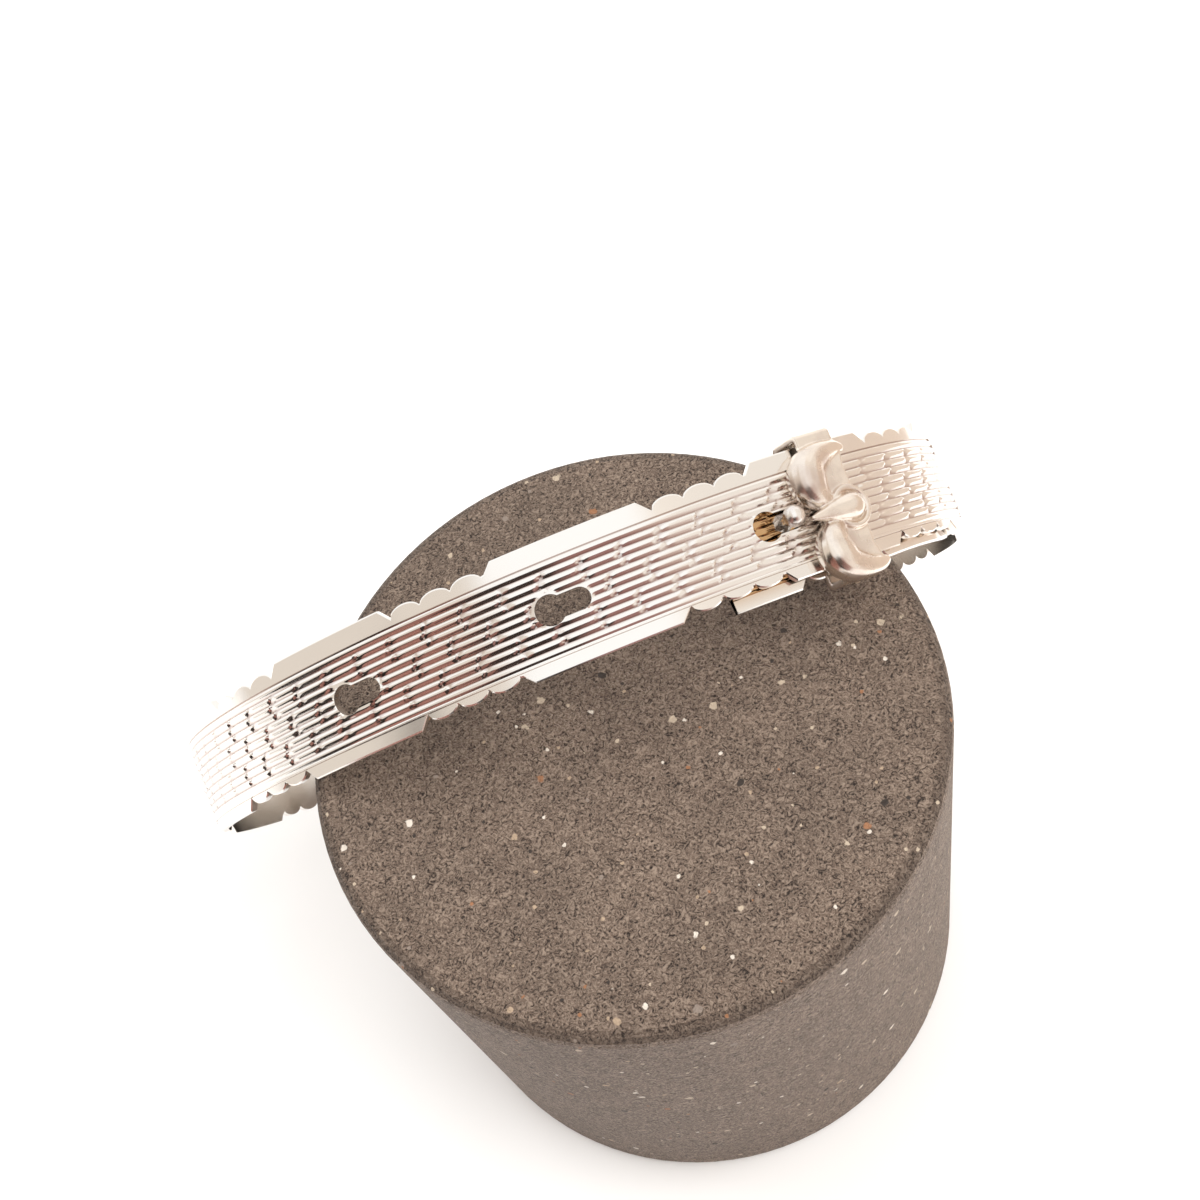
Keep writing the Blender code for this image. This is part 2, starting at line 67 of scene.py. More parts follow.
# The strip's two ends and how the inner layer comes out to the oval
LAYER_GAP = 0.3 * MM
TONGUE_START = 15.3 * MM
TONGUE_SLANT = 0.4 * MM
TONGUE_SIDE_PLAY = 0.65 * MM
TONGUE_BACK_PLAY = 0.3 * MM
TONGUE_SETTLE_START = 21.0 * MM
TONGUE_SETTLE_LENGTH = 14.0 * MM
STRAP_END = 42.0 * MM
STRAP_END_ROUNDING = 2.4 * MM
STRAP_TIP_SHARE = 0.35
LAYER_BLEND_START = 6.0 * MM
LAYER_BLEND_LENGTH = 60.0 * MM

# The edge of tabs and scallops
EDGE_PERIOD = 18.4 * MM
TAB_LENGTH = 11.2 * MM
TAB_CHAMFER = 0.8 * MM
SCALLOP_DROP = 0.25 * MM
SCALLOPS = 3
SCALLOP_STEPS = 12
FRONT_TAB_ENDS = (-18.05 * MM, -6.81 * MM, 0.2 * MM, 12.45 * MM, 19.43 * MM)
TONGUE_TAB_CENTRE = 16.2 * MM
BACK_PATTERN_LEAD = 9.4 * MM

# The keyholes and the stud
KEYHOLE_COUNT = 3
KEYHOLE_PITCH = 15.9 * MM
KEYHOLE_LAST = 19.6 * MM
KEYHOLE_RADIUS = 1.07 * MM
SLOT_LENGTH = 2.1 * MM
SLOT_HALF_WIDTH = 0.77 * MM
KEYHOLE_DROP = 0.25 * MM
POST_RADIUS = 0.38 * MM
STUD_PLAY = 0.8 * MM
FIT_GAP = 0.3 * MM
SIDE_GAP = 0.25 * MM
BEND_ALLOWANCE = 0.12 * MM
BUCKLE_FROM_STUD = 3.3 * MM
KEYHOLE_ROUND_STEPS = 40
KEYHOLE_SLOT_STEPS = 20
RIVET_HOLE_STEPS = 24
STUD_BALL_LIFT = 0.12 * MM
STUD_FOOT_THICKNESS = 0.35 * MM
STUD_SOFT_EDGE = 0.05 * MM
STUD_SIDES = 48
STUD_BALL_RINGS = 24

# The buckle's loop and the cast parts on it: how far they sink into its top or rise over it
LOOP_CORNER_STEPS = 4
LOOP_PAST_FRONT = 0.65 * MM
FRONT_DROP = 0.55 * MM
FIELD_SINK = 0.3 * MM
FIELD_RISE = 0.22 * MM
LOBE_SINK = 0.1 * MM
DROP_RISE = 0.3 * MM
COLLAR_RISE = 0.35 * MM
COLLAR_TUBE_RADIUS = 0.24 * MM
SWELL_FLATNESS = 0.95
CAST_DETAIL = 0.075 * MM
CAST_SOFTENING = 4

# The rolled pattern: eleven ribs, the outer two unbroken and the others broken into bars
RIB_PITCH = 0.571 * MM
RIB_COUNT = 11
RIB_SAMPLES = 7
FIELD_CENTRE = -0.15 * MM
BAR_PITCH = 2.84 * MM
BAR_END_AT = 6.68 * MM
BAR_TIP = 0.12
BAR_TIP_NARROWING = 0.9
BAR_RISE = 0.25
BAR_START_SHARE = 0.42
BAR_SLOPE_SHARE = 0.12
BAR_GROUP_SHIFT = 0.5
BAR_MIDDLE_SHIFT = 0.1
BARS_PER_GROUP = 3
PLAIN_RIB_SHARE = 0.9
CREST_SHARE = 0.4
RIDGE_POWER = 1.35
FRONT_STEP = 0.2 * MM
BACK_STEP = 0.5 * MM
CLOSEST_COLUMNS = 0.05 * MM
KEYHOLE_RIM = 0.22 * MM
KEYHOLE_RIM_LEVEL = 0.9
PATTERN_MARGIN = 0.05 * MM
EDGE_WEAR_RUN = 1.5

# Angles from which an edge counts as sharp
STRIP_SHARP = radians(27)
BUCKLE_SHARP = radians(60)
STUD_SHARP = radians(40)
STAND_SHARP = radians(50)

# The thin line below the pattern: where it starts, is deepest and ends, counted from the pattern
LINE_PLACES = (0.08 * MM, 0.13 * MM, 0.18 * MM)
LINE_DEPTH = 0.05 * MM

# Where the strip is narrow, its rows keep this far apart: they are held from the upper edge up to
# this row, and from the lower edge past it
ROW_GAP = 0.02 * MM
LAST_ROW_FROM_ABOVE = 5

# The part of the tongue under the strap, coloured with old tarnish and painted shade, starts this far in from
# its lower edge
COVER_EDGE = 0.75 * MM
COVER_FADE = 0.3 * MM

# Centre line of a lobe of the buckle's front, from its free tip to its root beside the drop.
# along: share of the front's length; up: share of its half span; width: share of the widest
LOBE_SECTIONS = [
    {"along": 0.99, "up": 0.84, "width": 0.20},
    {"along": 0.90, "up": 0.88, "width": 0.36},
    {"along": 0.72, "up": 0.88, "width": 0.50},
    {"along": 0.50, "up": 0.82, "width": 0.72},
    {"along": 0.33, "up": 0.72, "width": 0.90},
    {"along": 0.25, "up": 0.54, "width": 1.00},
    {"along": 0.28, "up": 0.36, "width": 0.86},
    {"along": 0.37, "up": 0.21, "width": 0.60},
    {"along": 0.48, "up": 0.11, "width": 0.34},
]
# The drop, from its pointed tip to its round end
DROP_SECTIONS = [
    {"along": 0.05, "up": 0.0, "width": 0.16},
    {"along": 0.20, "up": 0.0, "width": 0.42},
    {"along": 0.38, "up": 0.0, "width": 0.72},
    {"along": 0.56, "up": 0.0, "width": 0.94},
    {"along": 0.70, "up": 0.0, "width": 1.00},
    {"along": 0.80, "up": 0.0, "width": 0.86},
    {"along": 0.88, "up": 0.0, "width": 0.46},
]
# Outline of the flat field inside a lobe's curve
FIELD_OUTLINE = [
    {"along": 0.30, "up": 0.04},
    {"along": 0.86, "up": 0.04},
    {"along": 0.87, "up": 0.36},
    {"along": 0.86, "up": 0.58},
    {"along": 0.92, "up": 0.84},
    {"along": 0.50, "up": 0.86},
    {"along": 0.26, "up": 0.60},
]
COLLAR_CENTRE_ALONG = 0.70

# The silver's film and finish: sizes of smudges, scuffs and dents, and least and most roughness
SHEET_SMUDGE_SIZE = 5 * MM
SHEET_SCUFF_SIZE = 0.12 * MM
SHEET_SCUFF_DEPTH = 0.01 * MM
SHEET_ROUGHNESS = (0.09, 0.19)
GROOVE_FILM = 0.6
# Share of old tarnish and painted shade on the tongue where the strap covers it
UNDER_STRAP_TARNISH_AND_SHADE = 0.9
CAST_SMUDGE_SIZE = 2.2 * MM
CAST_DENT_SIZE = 0.5 * MM
CAST_DENT_DEPTH = 0.02 * MM
CAST_ROUGHNESS = (0.19, 0.32)
CAST_FILM = 0.45

# The stone's grain
STONE_CLOUD_SIZE = 5 * MM
STONE_GRAIN_SIZE = 0.4 * MM
STONE_FINE_SIZE = 0.16 * MM
STONE_PIT_DEPTH = 0.2 * MM
STONE_ROUGHNESS = (0.75, 0.55)
# Its chips: size of the cell that may hold one, the chance that it does, and the chip's radius
# as a share of the cell; then how often in a cell and how far their edges waver
CHIP_KINDS = ((1.6 * MM, 0.24, 0.15), (0.8 * MM, 0.17, 0.15))
CHIP_WOBBLES = 4
CHIP_UNEVENNESS = 0.30
CHIP_EDGE_FADE = 0.04
# Tan, black, rust, white and grey, by a random number
CHIP_COLOURS = ((0.0, "#bfae99"), (0.3, "#38302b"), (0.38, "#ad9780"), (0.62, "#9a6d4e"), (0.72, "#ddd3c6"),
                (0.9, "#8d7f74"))


def linear_colour(code):
    """An sRGB hex colour as linear red, green and blue."""
    parts = [int(code[place:place + 2], 16) / 255 for place in (1, 3, 5)]
    return tuple(part / 12.92 if part <= 0.04045 else ((part + 0.055) / 1.055) ** 2.4
                 for part in parts)


def colour_property(name, description, code):
    return FloatVectorProperty(name=name, description=description, subtype="COLOR", size=3,
                               min=0.0, max=1.0, default=linear_colour(code))


def length_property(name, description, default):
    return FloatProperty(name=name, description=description, default=default, min=0.0,
                         unit="LENGTH", precision=5)


class BraceletSizes(bpy.types.PropertyGroup):
    """Sizes of the bracelet's pieces."""
    strip_width: length_property("Strip width", "Height of the strip across its tabs", 8.73 * MM)
    strip_thickness: length_property("Strip thickness", "Sheet the strip is cut from", 0.5 * MM)
    notch_depth: length_property("Notch depth", "Cut of the notches between the scallops", 0.9 * MM)
    rib_height: length_property("Rib height", "Height of the rolled ribs", 0.16 * MM)
    edge_wear: length_property("Edge wear", "Rounding of the strip's edges by wear", 0.07 * MM)
    ball_radius: length_property("Ball radius", "Radius of the stud's ball", 0.78 * MM)
    foot_radius: length_property("Foot radius", "Radius of the stud's foot", 1.0 * MM)
    loop_length: length_property("Loop length", "Length of the buckle's loop along the strip", 3.0 * MM)
    loop_wall: length_property("Loop wall", "Thickness of the buckle's loop", 0.45 * MM)
    front_length: length_property("Front length", "Length of the cast front", 5.4 * MM)
    front_half_span: length_property("Front half span", "Middle of the front to a lobe's edge", 4.9 * MM)
    lobe_half_width: length_property("Lobe half width", "Half a lobe's greatest width", 1.45 * MM)
    drop_half_width: length_property("Drop half width", "Half the drop's greatest width", 1.0 * MM)
    collar_radius: length_property("Collar radius", "Radius of the rim round the drop", 1.36 * MM)


class BraceletColours(bpy.types.PropertyGroup):
    """Colours of silver and stone."""
    silver: colour_property("Silver", "Polished sheet silver", "#f2eee9")
    tarnish: colour_property("Tarnish", "Rosy film left in the grooves", "#a3837a")
    # Colour of the tongue under the strap: old tarnish and painted shade between the layers
    tarnish_and_shade_under_strap: colour_property("Old tarnish", "Golden brown film where the strap covers the tongue", "#c89d66")
    cast_silver: colour_property("Cast silver", "Cast and polished silver", "#efe5da")
    stone: colour_property("Stone", "Body of the stone", "#6b5a4e")
    # Pale stone is also the painted light on the stand's sides
    stone_pale_and_side_light: colour_property("Pale stone", "Paler grains of the stone", "#9c8a7a")
    # Dark stone is also the painted shade on the rim of the stand's top
    stone_dark_and_rim_shade: colour_property("Dark stone", "Dark veins and pits of the stone", "#261d18")
    floor: colour_property("Floor", "Plain pale floor", "#fbfbfa")


def oval_table():
    angles = np.linspace(0.0, 2.0 * pi, OVAL_STEPS + 1)
    across = np.diff(OVAL_LENGTH / 2 * np.sin(angles))
    down = np.diff(OVAL_DEPTH / 2 * np.cos(angles))
    return angles, np.concatenate([[0.0], np.cumsum(np.hypot(across, down))])


OVAL_ANGLES, OVAL_RUN = oval_table()
PERIMETER = float(OVAL_RUN[-1])


def oval_frames(s):
    """Points of the oval, directions along it and outward normals at the lengths s."""
    angle = np.interp(np.mod(s, PERIMETER), OVAL_RUN, OVAL_ANGLES)
    zero = np.zeros_like(angle)
    point = np.stack([OVAL_LENGTH / 2 * np.sin(angle), zero, OVAL_DEPTH / 2 * np.cos(angle)], -1)
    along = np.stack([OVAL_LENGTH * np.cos(angle), zero, -OVAL_DEPTH * np.sin(angle)], -1)
    along /= np.linalg.norm(along, axis=-1, keepdims=True)
    outward = np.stack([-along[..., 2], zero, along[..., 0]], -1)
    return point, along, outward


def smooth_step(value):
    value = np.clip(value, 0.0, 1.0)
    return value * value * (3.0 - 2.0 * value)


def outer_share(s):
    """0 where the strip is the inner layer, 1 once it has come out to the oval itself."""
    return smooth_step((s - STRAP_END - LAYER_BLEND_START) / LAYER_BLEND_LENGTH)


def side_play(s):
    """How far the inner layer sits below the outer one, most of all at the tongue's end."""
    settled = smooth_step((s - TONGUE_SETTLE_START) / TONGUE_SETTLE_LENGTH)
    play = TONGUE_SIDE_PLAY + (TONGUE_BACK_PLAY - TONGUE_SIDE_PLAY) * settled
    return play * (1.0 - outer_share(s))


def edge_marks():
    """Lengths along the strip with their edge phase, whole numbers at the tabs' centres."""
    half_tab = TAB_LENGTH / 2 / EDGE_PERIOD
    front = [PERIMETER + end for end in FRONT_TAB_ENDS]
    front_phases = [-1.0 - half_tab, -1.0 + half_tab, -half_tab, half_tab, 1.0 - half_tab]
    back_start = front[0] - BACK_PATTERN_LEAD
    back_phase = front_phases[0] - BACK_PATTERN_LEAD / EDGE_PERIOD
    repeats = round((back_start - TONGUE_TAB_CENTRE) / EDGE_PERIOD - back_phase)
    before, after = TONGUE_TAB_CENTRE - EDGE_PERIOD, front[-1] + 2 * EDGE_PERIOD
    lengths = [before, TONGUE_TAB_CENTRE, back_start] + front + [after]
    phases = [-repeats - 1.0, -float(repeats), back_phase] + front_phases + [3.0 - half_tab]
    return lengths, phases


def edge_inset(s, depth):
    """How far the tabs and scallops cut in from the strip's full width at the lengths s."""
    phase = np.interp(s, *edge_marks())
    from_tab = np.abs(phase - np.round(phase)) * EDGE_PERIOD
    half_tab = TAB_LENGTH / 2
    chamfer = depth * np.clip((from_tab - half_tab + TAB_CHAMFER) / TAB_CHAMFER, 0.0, 1.0)
    place = np.mod((from_tab - half_tab) / ((EDGE_PERIOD - TAB_LENGTH) / SCALLOPS), 1.0)
    rise = np.sqrt(np.clip(1.0 - (2.0 * place - 1.0) ** 2, 0.0, 1.0))
    return np.where(from_tab <= half_tab, chamfer, depth - (depth - SCALLOP_DROP) * rise)


def strip_half_width(s, sizes):
    """Half the strip's height at the lengths s, with its rounded outer end."""
    half = sizes.strip_width / 2 - edge_inset(s, sizes.notch_depth)
    share = np.clip(1.0 - (PERIMETER + STRAP_END - s) / STRAP_END_ROUNDING, 0.0, 1.0)
    rounding = (1.0 - STRAP_TIP_SHARE) * np.sqrt(1.0 - share * share)
    rounded = sizes.strip_width / 2 * (STRAP_TIP_SHARE + rounding)
    return np.where(share > 0.0, np.minimum(half, rounded), half)


def strip_place(s, v, height, sizes):
    """Bend points of the flat strip round the oval, height counted out of its outer face."""
    point, along, outward = oval_frames(s)
    inner = 1.0 - outer_share(s)
    depth = (sizes.strip_thickness + LAYER_GAP) * inner - height
    place = point - outward * depth[..., None]
    place[..., 1] += v - side_play(s)
    return place


def strip_columns():
    """Lengths along the strip with a column of points: its edge's corners and what lies between."""
    start, end = TONGUE_START, PERIMETER + STRAP_END
    lengths, phases = edge_marks()
    half_tab = TAB_LENGTH / 2
    scallop = (EDGE_PERIOD - TAB_LENGTH) / SCALLOPS
    corners = [-half_tab, -half_tab + TAB_CHAMFER, half_tab - TAB_CHAMFER, half_tab]
    for group in range(SCALLOPS):
        for step in range(1, SCALLOP_STEPS + 1):
            corners.append(half_tab + scallop * (group + (1.0 - cos(pi * step / SCALLOP_STEPS)) / 2))
    marks = {start: 0, end: 0}
    for repeat in range(int(phases[0]), int(phases[-1]) + 1):
        for corner in corners:
            marks[float(np.interp(repeat + corner / EDGE_PERIOD, phases, lengths))] = 1
    for step in range(SCALLOP_STEPS):
        marks[end - STRAP_END_ROUNDING * (1.0 - sin(pi / 2 * step / SCALLOP_STEPS))] = 1
    fine_from = PERIMETER - STRAP_END
    spans = ((start, start + STRAP_END, FRONT_STEP), (start + STRAP_END, fine_from, BACK_STEP),
             (fine_from, end, FRONT_STEP))
    for first, last, step in spans:
        for place in np.arange(first + step, last, step):
            marks.setdefault(float(place), 2)
    kept = []
    for place in sorted(mark for mark in marks if start <= mark <= end):
        if kept and place - kept[-1] < CLOSEST_COLUMNS:
            if marks[place] < marks[kept[-1]]:
                kept[-1] = place
            continue
        kept.append(place)
    return np.array(kept)


def bar_relief(s, rib, across):
    """Height of the rolled pattern, 0 to 1, at lengths s and a place 0 to 1 down a rib."""
    if rib in (0, RIB_COUNT - 1):
        return PLAIN_RIB_SHARE * (1.0 - abs(2.0 * across - 1.0) ** RIDGE_POWER) * np.ones_like(s)
    group, member = divmod(rib - 1, BARS_PER_GROUP)
    shift = (BAR_GROUP_SHIFT if group == 1 else 0.0) - (BAR_MIDDLE_SHIFT if member == 1 else 0.0)
    phase = np.mod((s - PERIMETER - BAR_END_AT) / BAR_PITCH - shift, 1.0)
    drawn_in = np.clip((phase - 1.0 + BAR_TIP) / BAR_TIP, 0.0, 1.0) ** 2
    place = np.clip(across * (1.0 + BAR_TIP_NARROWING * drawn_in), 0.0, 1.0)
    ridge = 1.0 - np.abs(2.0 * place - 1.0) ** RIDGE_POWER
    risen = BAR_START_SHARE + (1.0 - BAR_START_SHARE) * smooth_step(phase / BAR_RISE)
    return ridge * risen * (1.0 - BAR_SLOPE_SHARE + BAR_SLOPE_SHARE * phase)


def keyhole_rim(s, v):
    """1 at a keyhole's edge, where the punch has pressed the pattern flat, falling to 0 around it."""
    nearest = np.full_like(s, KEYHOLE_RIM)
    for number in range(KEYHOLE_COUNT):
        along = s - PERIMETER - KEYHOLE_LAST + KEYHOLE_PITCH * number
        round_part = np.hypot(along, v + KEYHOLE_DROP) - KEYHOLE_RADIUS
        past_slot = along - np.clip(along, 0.0, SLOT_LENGTH)
        slot = np.hypot(past_slot, v + KEYHOLE_DROP) - SLOT_HALF_WIDTH
        nearest = np.minimum(nearest, np.minimum(round_part, slot))
    return smooth_step(1.0 - nearest / KEYHOLE_RIM)


def strip_rows(s, sizes):
    """Rows of points round the strip's section: height across it, height out of it, groove."""
    half = strip_half_width(s, sizes)
    flat = np.zeros_like(s)
    worn = np.full_like(s, -sizes.edge_wear)
    worn_run = sizes.edge_wear * EDGE_WEAR_RUN
    crest = CREST_SHARE * sizes.rib_height
    field_top = FIELD_CENTRE + RIB_PITCH * RIB_COUNT / 2
    rows = [(half, worn, flat), (half - worn_run, flat, flat),
            (flat + field_top + PATTERN_MARGIN, flat, flat)]
    for rib in range(RIB_COUNT):
        for step in range(RIB_SAMPLES):
            across = step / RIB_SAMPLES
            v = flat + field_top - RIB_PITCH * (rib + across)
            rim = keyhole_rim(s, v)
            relief = bar_relief(s, rib, across) * (1.0 - rim) + KEYHOLE_RIM_LEVEL * rim
            rows.append((v, relief * sizes.rib_height + crest - sizes.rib_height, 1.0 - relief))
    bottom = flat + field_top - RIB_PITCH * RIB_COUNT
    line_start, line_middle, line_end = (bottom - place for place in LINE_PLACES)
    inner_face = flat - sizes.strip_thickness
    rows += [(bottom, flat, flat), (line_start, flat, flat), (line_middle, flat - LINE_DEPTH, flat + 1.0),
             (line_end, flat, flat), (-half + worn_run, flat, flat), (-half, worn, flat),
             (-half, inner_face, flat), (half, inner_face, flat)]
    squeezed = []
    for number, (v, height, groove) in enumerate(rows):
        margin = ROW_GAP * min(number, max(len(rows) - 3 - number, 0))
        above = number <= LAST_ROW_FROM_ABOVE
        squeezed.append((np.clip(v, -half + margin * (not above), half - margin * above), height, groove))
    squeezed.append(squeezed[0])
    return [np.array(part) for part in zip(*squeezed)]


def covered_share(s, v, sizes):
    """1 on the tongue where the strap lies over it, 0 on everything that is open to view."""
    lengthwise = smooth_step((STRAP_END - s) / COVER_FADE)
    return lengthwise * smooth_step((v + sizes.strip_width / 2 - COVER_EDGE) / COVER_FADE)


def bracelet_matrix(sizes):
    """Where the loop leans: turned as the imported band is, with its box's middle on the band's."""
    lean = Matrix.Rotation(TURN, 4, "Z") @ Matrix.Rotation(SIDE_TILT, 4, "Y") @ Matrix.Rotation(LEAN, 4, "X")
    s = strip_columns()
    half = strip_half_width(s, sizes)
    corners = [strip_place(s, side * half, np.full_like(s, depth), sizes)
               for side in (-1, 1) for depth in (0.0, -sizes.strip_thickness)]
    placed = np.concatenate(corners) @ np.array(lean.to_3x3()).T
    low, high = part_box("band")
    middle = (low + high) / 2 - Vector((placed.min(0) + placed.max(0)) / 2)
    return Matrix.Translation(middle) @ lean


def seat_matrix(s, sizes):
    """Place on the strap's outer face: X along the strip, Y across it and Z out of it."""
    point, along, outward = (Vector(part) for part in oval_frames(np.float64(s)))
    turn = Matrix((along, outward.cross(along), outward)).transposed().to_4x4()
    return bracelet_matrix(sizes) @ Matrix.Translation(point) @ turn


def stud_length():
    return KEYHOLE_LAST + SLOT_LENGTH + SLOT_HALF_WIDTH - STUD_PLAY - POST_RADIUS


def select_only(*pieces):
    bpy.ops.object.select_all(action="DESELECT")
    for piece in pieces:
        piece.select_set(True)
    bpy.context.view_layer.objects.active = pieces[0]


def edit(piece, *steps):
    """Run edit-mode steps on all of a piece."""
    select_only(piece)
    bpy.ops.object.mode_set(mode="EDIT")
    bpy.ops.mesh.select_all(action="SELECT")
    for step in steps:
        step()
    bpy.ops.object.mode_set(mode="OBJECT")


def add_modifier(piece, kind, **settings):
    modifier = piece.modifiers.new(kind.title(), kind)
    for name, value in settings.items():
        setattr(modifier, name, value)


def apply_modifiers(piece):
    select_only(piece)
    for modifier in list(piece.modifiers):
        bpy.ops.object.modifier_apply(modifier=modifier.name)


def join(pieces):
    select_only(*pieces)
    bpy.ops.object.join()
    return pieces[0]


def finish_piece(piece, name, material, node, sharp):
    """Name a piece, bring its place into its mesh and hand it to the frame."""
    select_only(piece)
    bpy.ops.object.transform_apply(location=True, rotation=True, scale=True)
    bpy.ops.object.shade_smooth_by_angle(angle=sharp)
    piece.name = name
    piece.data.name = name
    piece.data.materials.clear()
    piece.data.materials.append(material)
    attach(piece, "root")
    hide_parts(node)


def new_plate(name, outline, low, high):
    """A straight plate on an outline of (x, y) points, from height low to high."""
    mesh = bpy.data.meshes.new(name)
    mesh.from_pydata([(x, y, low) for x, y in outline], [], [list(range(len(outline)))])
    plate = bpy.data.objects.new(name, mesh)
    bpy.context.collection.objects.link(plate)
    rise = {"value": (0, 0, high - low)}
    edit(plate, lambda: bpy.ops.mesh.extrude_region_move(TRANSFORM_OT_translate=rise),
         lambda: bpy.ops.mesh.select_all(action="SELECT"),
         lambda: bpy.ops.mesh.normals_make_consistent(inside=False))
    return plate


def circle_points(centre, radius, angles):
    """Points at some angles of a circle on the keyholes' centre line."""
    return [(centre + radius * cos(angle), radius * sin(angle) - KEYHOLE_DROP) for angle in angles]


def keyhole_outline():
    """A round hole that runs into a narrower slot."""
    meet = asin(SLOT_HALF_WIDTH / KEYHOLE_RADIUS)
    round_part = circle_points(0.0, KEYHOLE_RADIUS, np.linspace(meet, 2 * pi - meet, KEYHOLE_ROUND_STEPS))
    slot_end = np.linspace(-pi / 2, pi / 2, KEYHOLE_SLOT_STEPS)
    return round_part + circle_points(SLOT_LENGTH, SLOT_HALF_WIDTH, slot_end)


def add_cutters(sizes):
    """One object that cuts the keyholes from the strap and the stud's hole from the tongue."""
    cutters = []
    between_layers = -sizes.strip_thickness - LAYER_GAP / 2
    for number in range(KEYHOLE_COUNT):
        cutter = new_plate("keyhole", keyhole_outline(), between_layers, sizes.strip_thickness)
        cutter.matrix_world = seat_matrix(KEYHOLE_LAST - KEYHOLE_PITCH * number, sizes)
        cutters.append(cutter)
    ring = circle_points(0.0, POST_RADIUS + FIT_GAP, np.linspace(0, 2 * pi, RIVET_HOLE_STEPS + 1)[:-1])
    inner_face = -2 * sizes.strip_thickness - LAYER_GAP
    rivet = new_plate("rivet_hole", ring, inner_face - LAYER_GAP, between_layers)
    rivet.matrix_world = seat_matrix(stud_length(), sizes)
    cutters.append(rivet)
    return join(cutters)


def add_node(tree, kind, settings, inputs):
    """Add a node; an input's value is a number, a colour or another node's output."""
    node = tree.nodes.new(kind)
    for name, value in settings.items():
        setattr(node, name, value)
    for name, value in inputs.items():
        if isinstance(value, bpy.types.NodeSocket):
            tree.links.new(value, node.inputs[name])
        else:
            node.inputs[name].default_value = value
    return node


def new_material(name):
    material = bpy.data.materials.new(name)
    material.use_nodes = True
    return material, material.node_tree, material.node_tree.nodes["Principled BSDF"]


def plain_material(name, colour, roughness):
    material, _, shader = new_material(name)
    shader.inputs["Base Color"].default_value = (*colour, 1.0)
    shader.inputs["Roughness"].default_value = roughness
    return material


def mix_colours(tree, factor, first, second):
    """Output of a colour mix; first and second are colours or outputs."""
    full = [(*part, 1.0) if isinstance(part, (tuple, list)) else part for part in (first, second)]
    node = add_node(tree, "ShaderNodeMix", {"data_type": "RGBA"}, {0: factor, 6: full[0], 7: full[1]})
    return node.outputs[2]


def add_ramp(tree, value, stops, interpolation="LINEAR"):
    """Colours by position along a ramp, from (position, hex colour) stops."""
    ramp = add_node(tree, "ShaderNodeValToRGB", {}, {"Fac": value})
    ramp.color_ramp.interpolation = interpolation
    elements = ramp.color_ramp.elements
    while len(elements) < len(stops):
        elements.new(1.0)
    for element, (position, code) in zip(elements, stops):
        element.position = position
        element.color = (*linear_colour(code), 1.0)
    return ramp.outputs["Color"]


def map_range(tree, value, from_low, from_high, to_low=0.0, to_high=1.0):
    """A value carried over from one range to another, held at the ends."""
    inputs = {"Value": value, "From Min": from_low, "From Max": from_high,
              "To Min": to_low, "To Max": to_high}
    return add_node(tree, "ShaderNodeMapRange", {}, inputs).outputs["Result"]


def add_noise(tree, place, size, detail, **others):
    """Soft noise with patches of a given size."""
    inputs = {"Vector": place, "Scale": 1 / size, "Detail": detail}
    return add_node(tree, "ShaderNodeTexNoise", {}, {**inputs, **others}).outputs["Fac"]


def combine(tree, operation, *values):
    node = add_node(tree, "ShaderNodeMath", {"operation": operation}, dict(enumerate(values)))
    return node.outputs[0]


def add_bump(tree, shader, height, strength, distance):
    inputs = {"Strength": strength, "Distance": distance, "Height": height}
    bump = add_node(tree, "ShaderNodeBump", {}, inputs)
    tree.links.new(bump.outputs["Normal"], shader.inputs["Normal"])


def rolled_silver(colours):
    """Sterling sheet, rolled and polished: bright faces, a rosy film in the grooves, fine scuffs."""
    material, tree, shader = new_material("rolled_silver")
    place = add_node(tree, "ShaderNodeTexCoord", {}, {}).outputs["Object"]
    smudge = add_noise(tree, place, SHEET_SMUDGE_SIZE, 3.0)
    scuff = add_noise(tree, place, SHEET_SCUFF_SIZE, 2.0)
    groove = add_node(tree, "ShaderNodeAttribute", {"attribute_name": "groove"}, {}).outputs["Fac"]
    covered = add_node(tree, "ShaderNodeAttribute", {"attribute_name": "covered"}, {}).outputs["Fac"]
    film = map_range(tree, groove, 0.5, 1.0, 0.0, GROOVE_FILM)
    colour = mix_colours(tree, film, tuple(colours.silver), tuple(colours.tarnish))
    # The tongue under the strap is coloured with old tarnish and painted shade between the layers
    tarnish_and_shade_share = map_range(tree, covered, 0.0, 1.0, 0.0, UNDER_STRAP_TARNISH_AND_SHADE)
    colour = mix_colours(tree, tarnish_and_shade_share, colour, tuple(colours.tarnish_and_shade_under_strap))
    tree.links.new(colour, shader.inputs["Base Color"])
    tree.links.new(map_range(tree, smudge, 0.3, 0.7, *SHEET_ROUGHNESS), shader.inputs["Roughness"])
    shader.inputs["Metallic"].default_value = 1.0
    add_bump(tree, shader, scuff, 0.06, SHEET_SCUFF_DEPTH)
    return material


def cast_silver(name, colour, tarnish):
    """Cast sterling, filed and polished: soft swells that keep a little warm film."""
    material, tree, shader = new_material(name)
    place = add_node(tree, "ShaderNodeTexCoord", {}, {}).outputs["Object"]
    smudge = add_noise(tree, place, CAST_SMUDGE_SIZE, 4.0)
    dent = add_noise(tree, place, CAST_DENT_SIZE, 2.0)
    film = map_range(tree, smudge, 0.45, 0.8, 0.0, CAST_FILM)
    tree.links.new(mix_colours(tree, film, tuple(colour), tuple(tarnish)), shader.inputs["Base Color"])
    tree.links.new(map_range(tree, smudge, 0.3, 0.7, *CAST_ROUGHNESS), shader.inputs["Roughness"])
    shader.inputs["Metallic"].default_value = 1.0
    add_bump(tree, shader, dent, 0.15, CAST_DENT_DEPTH)
    return material


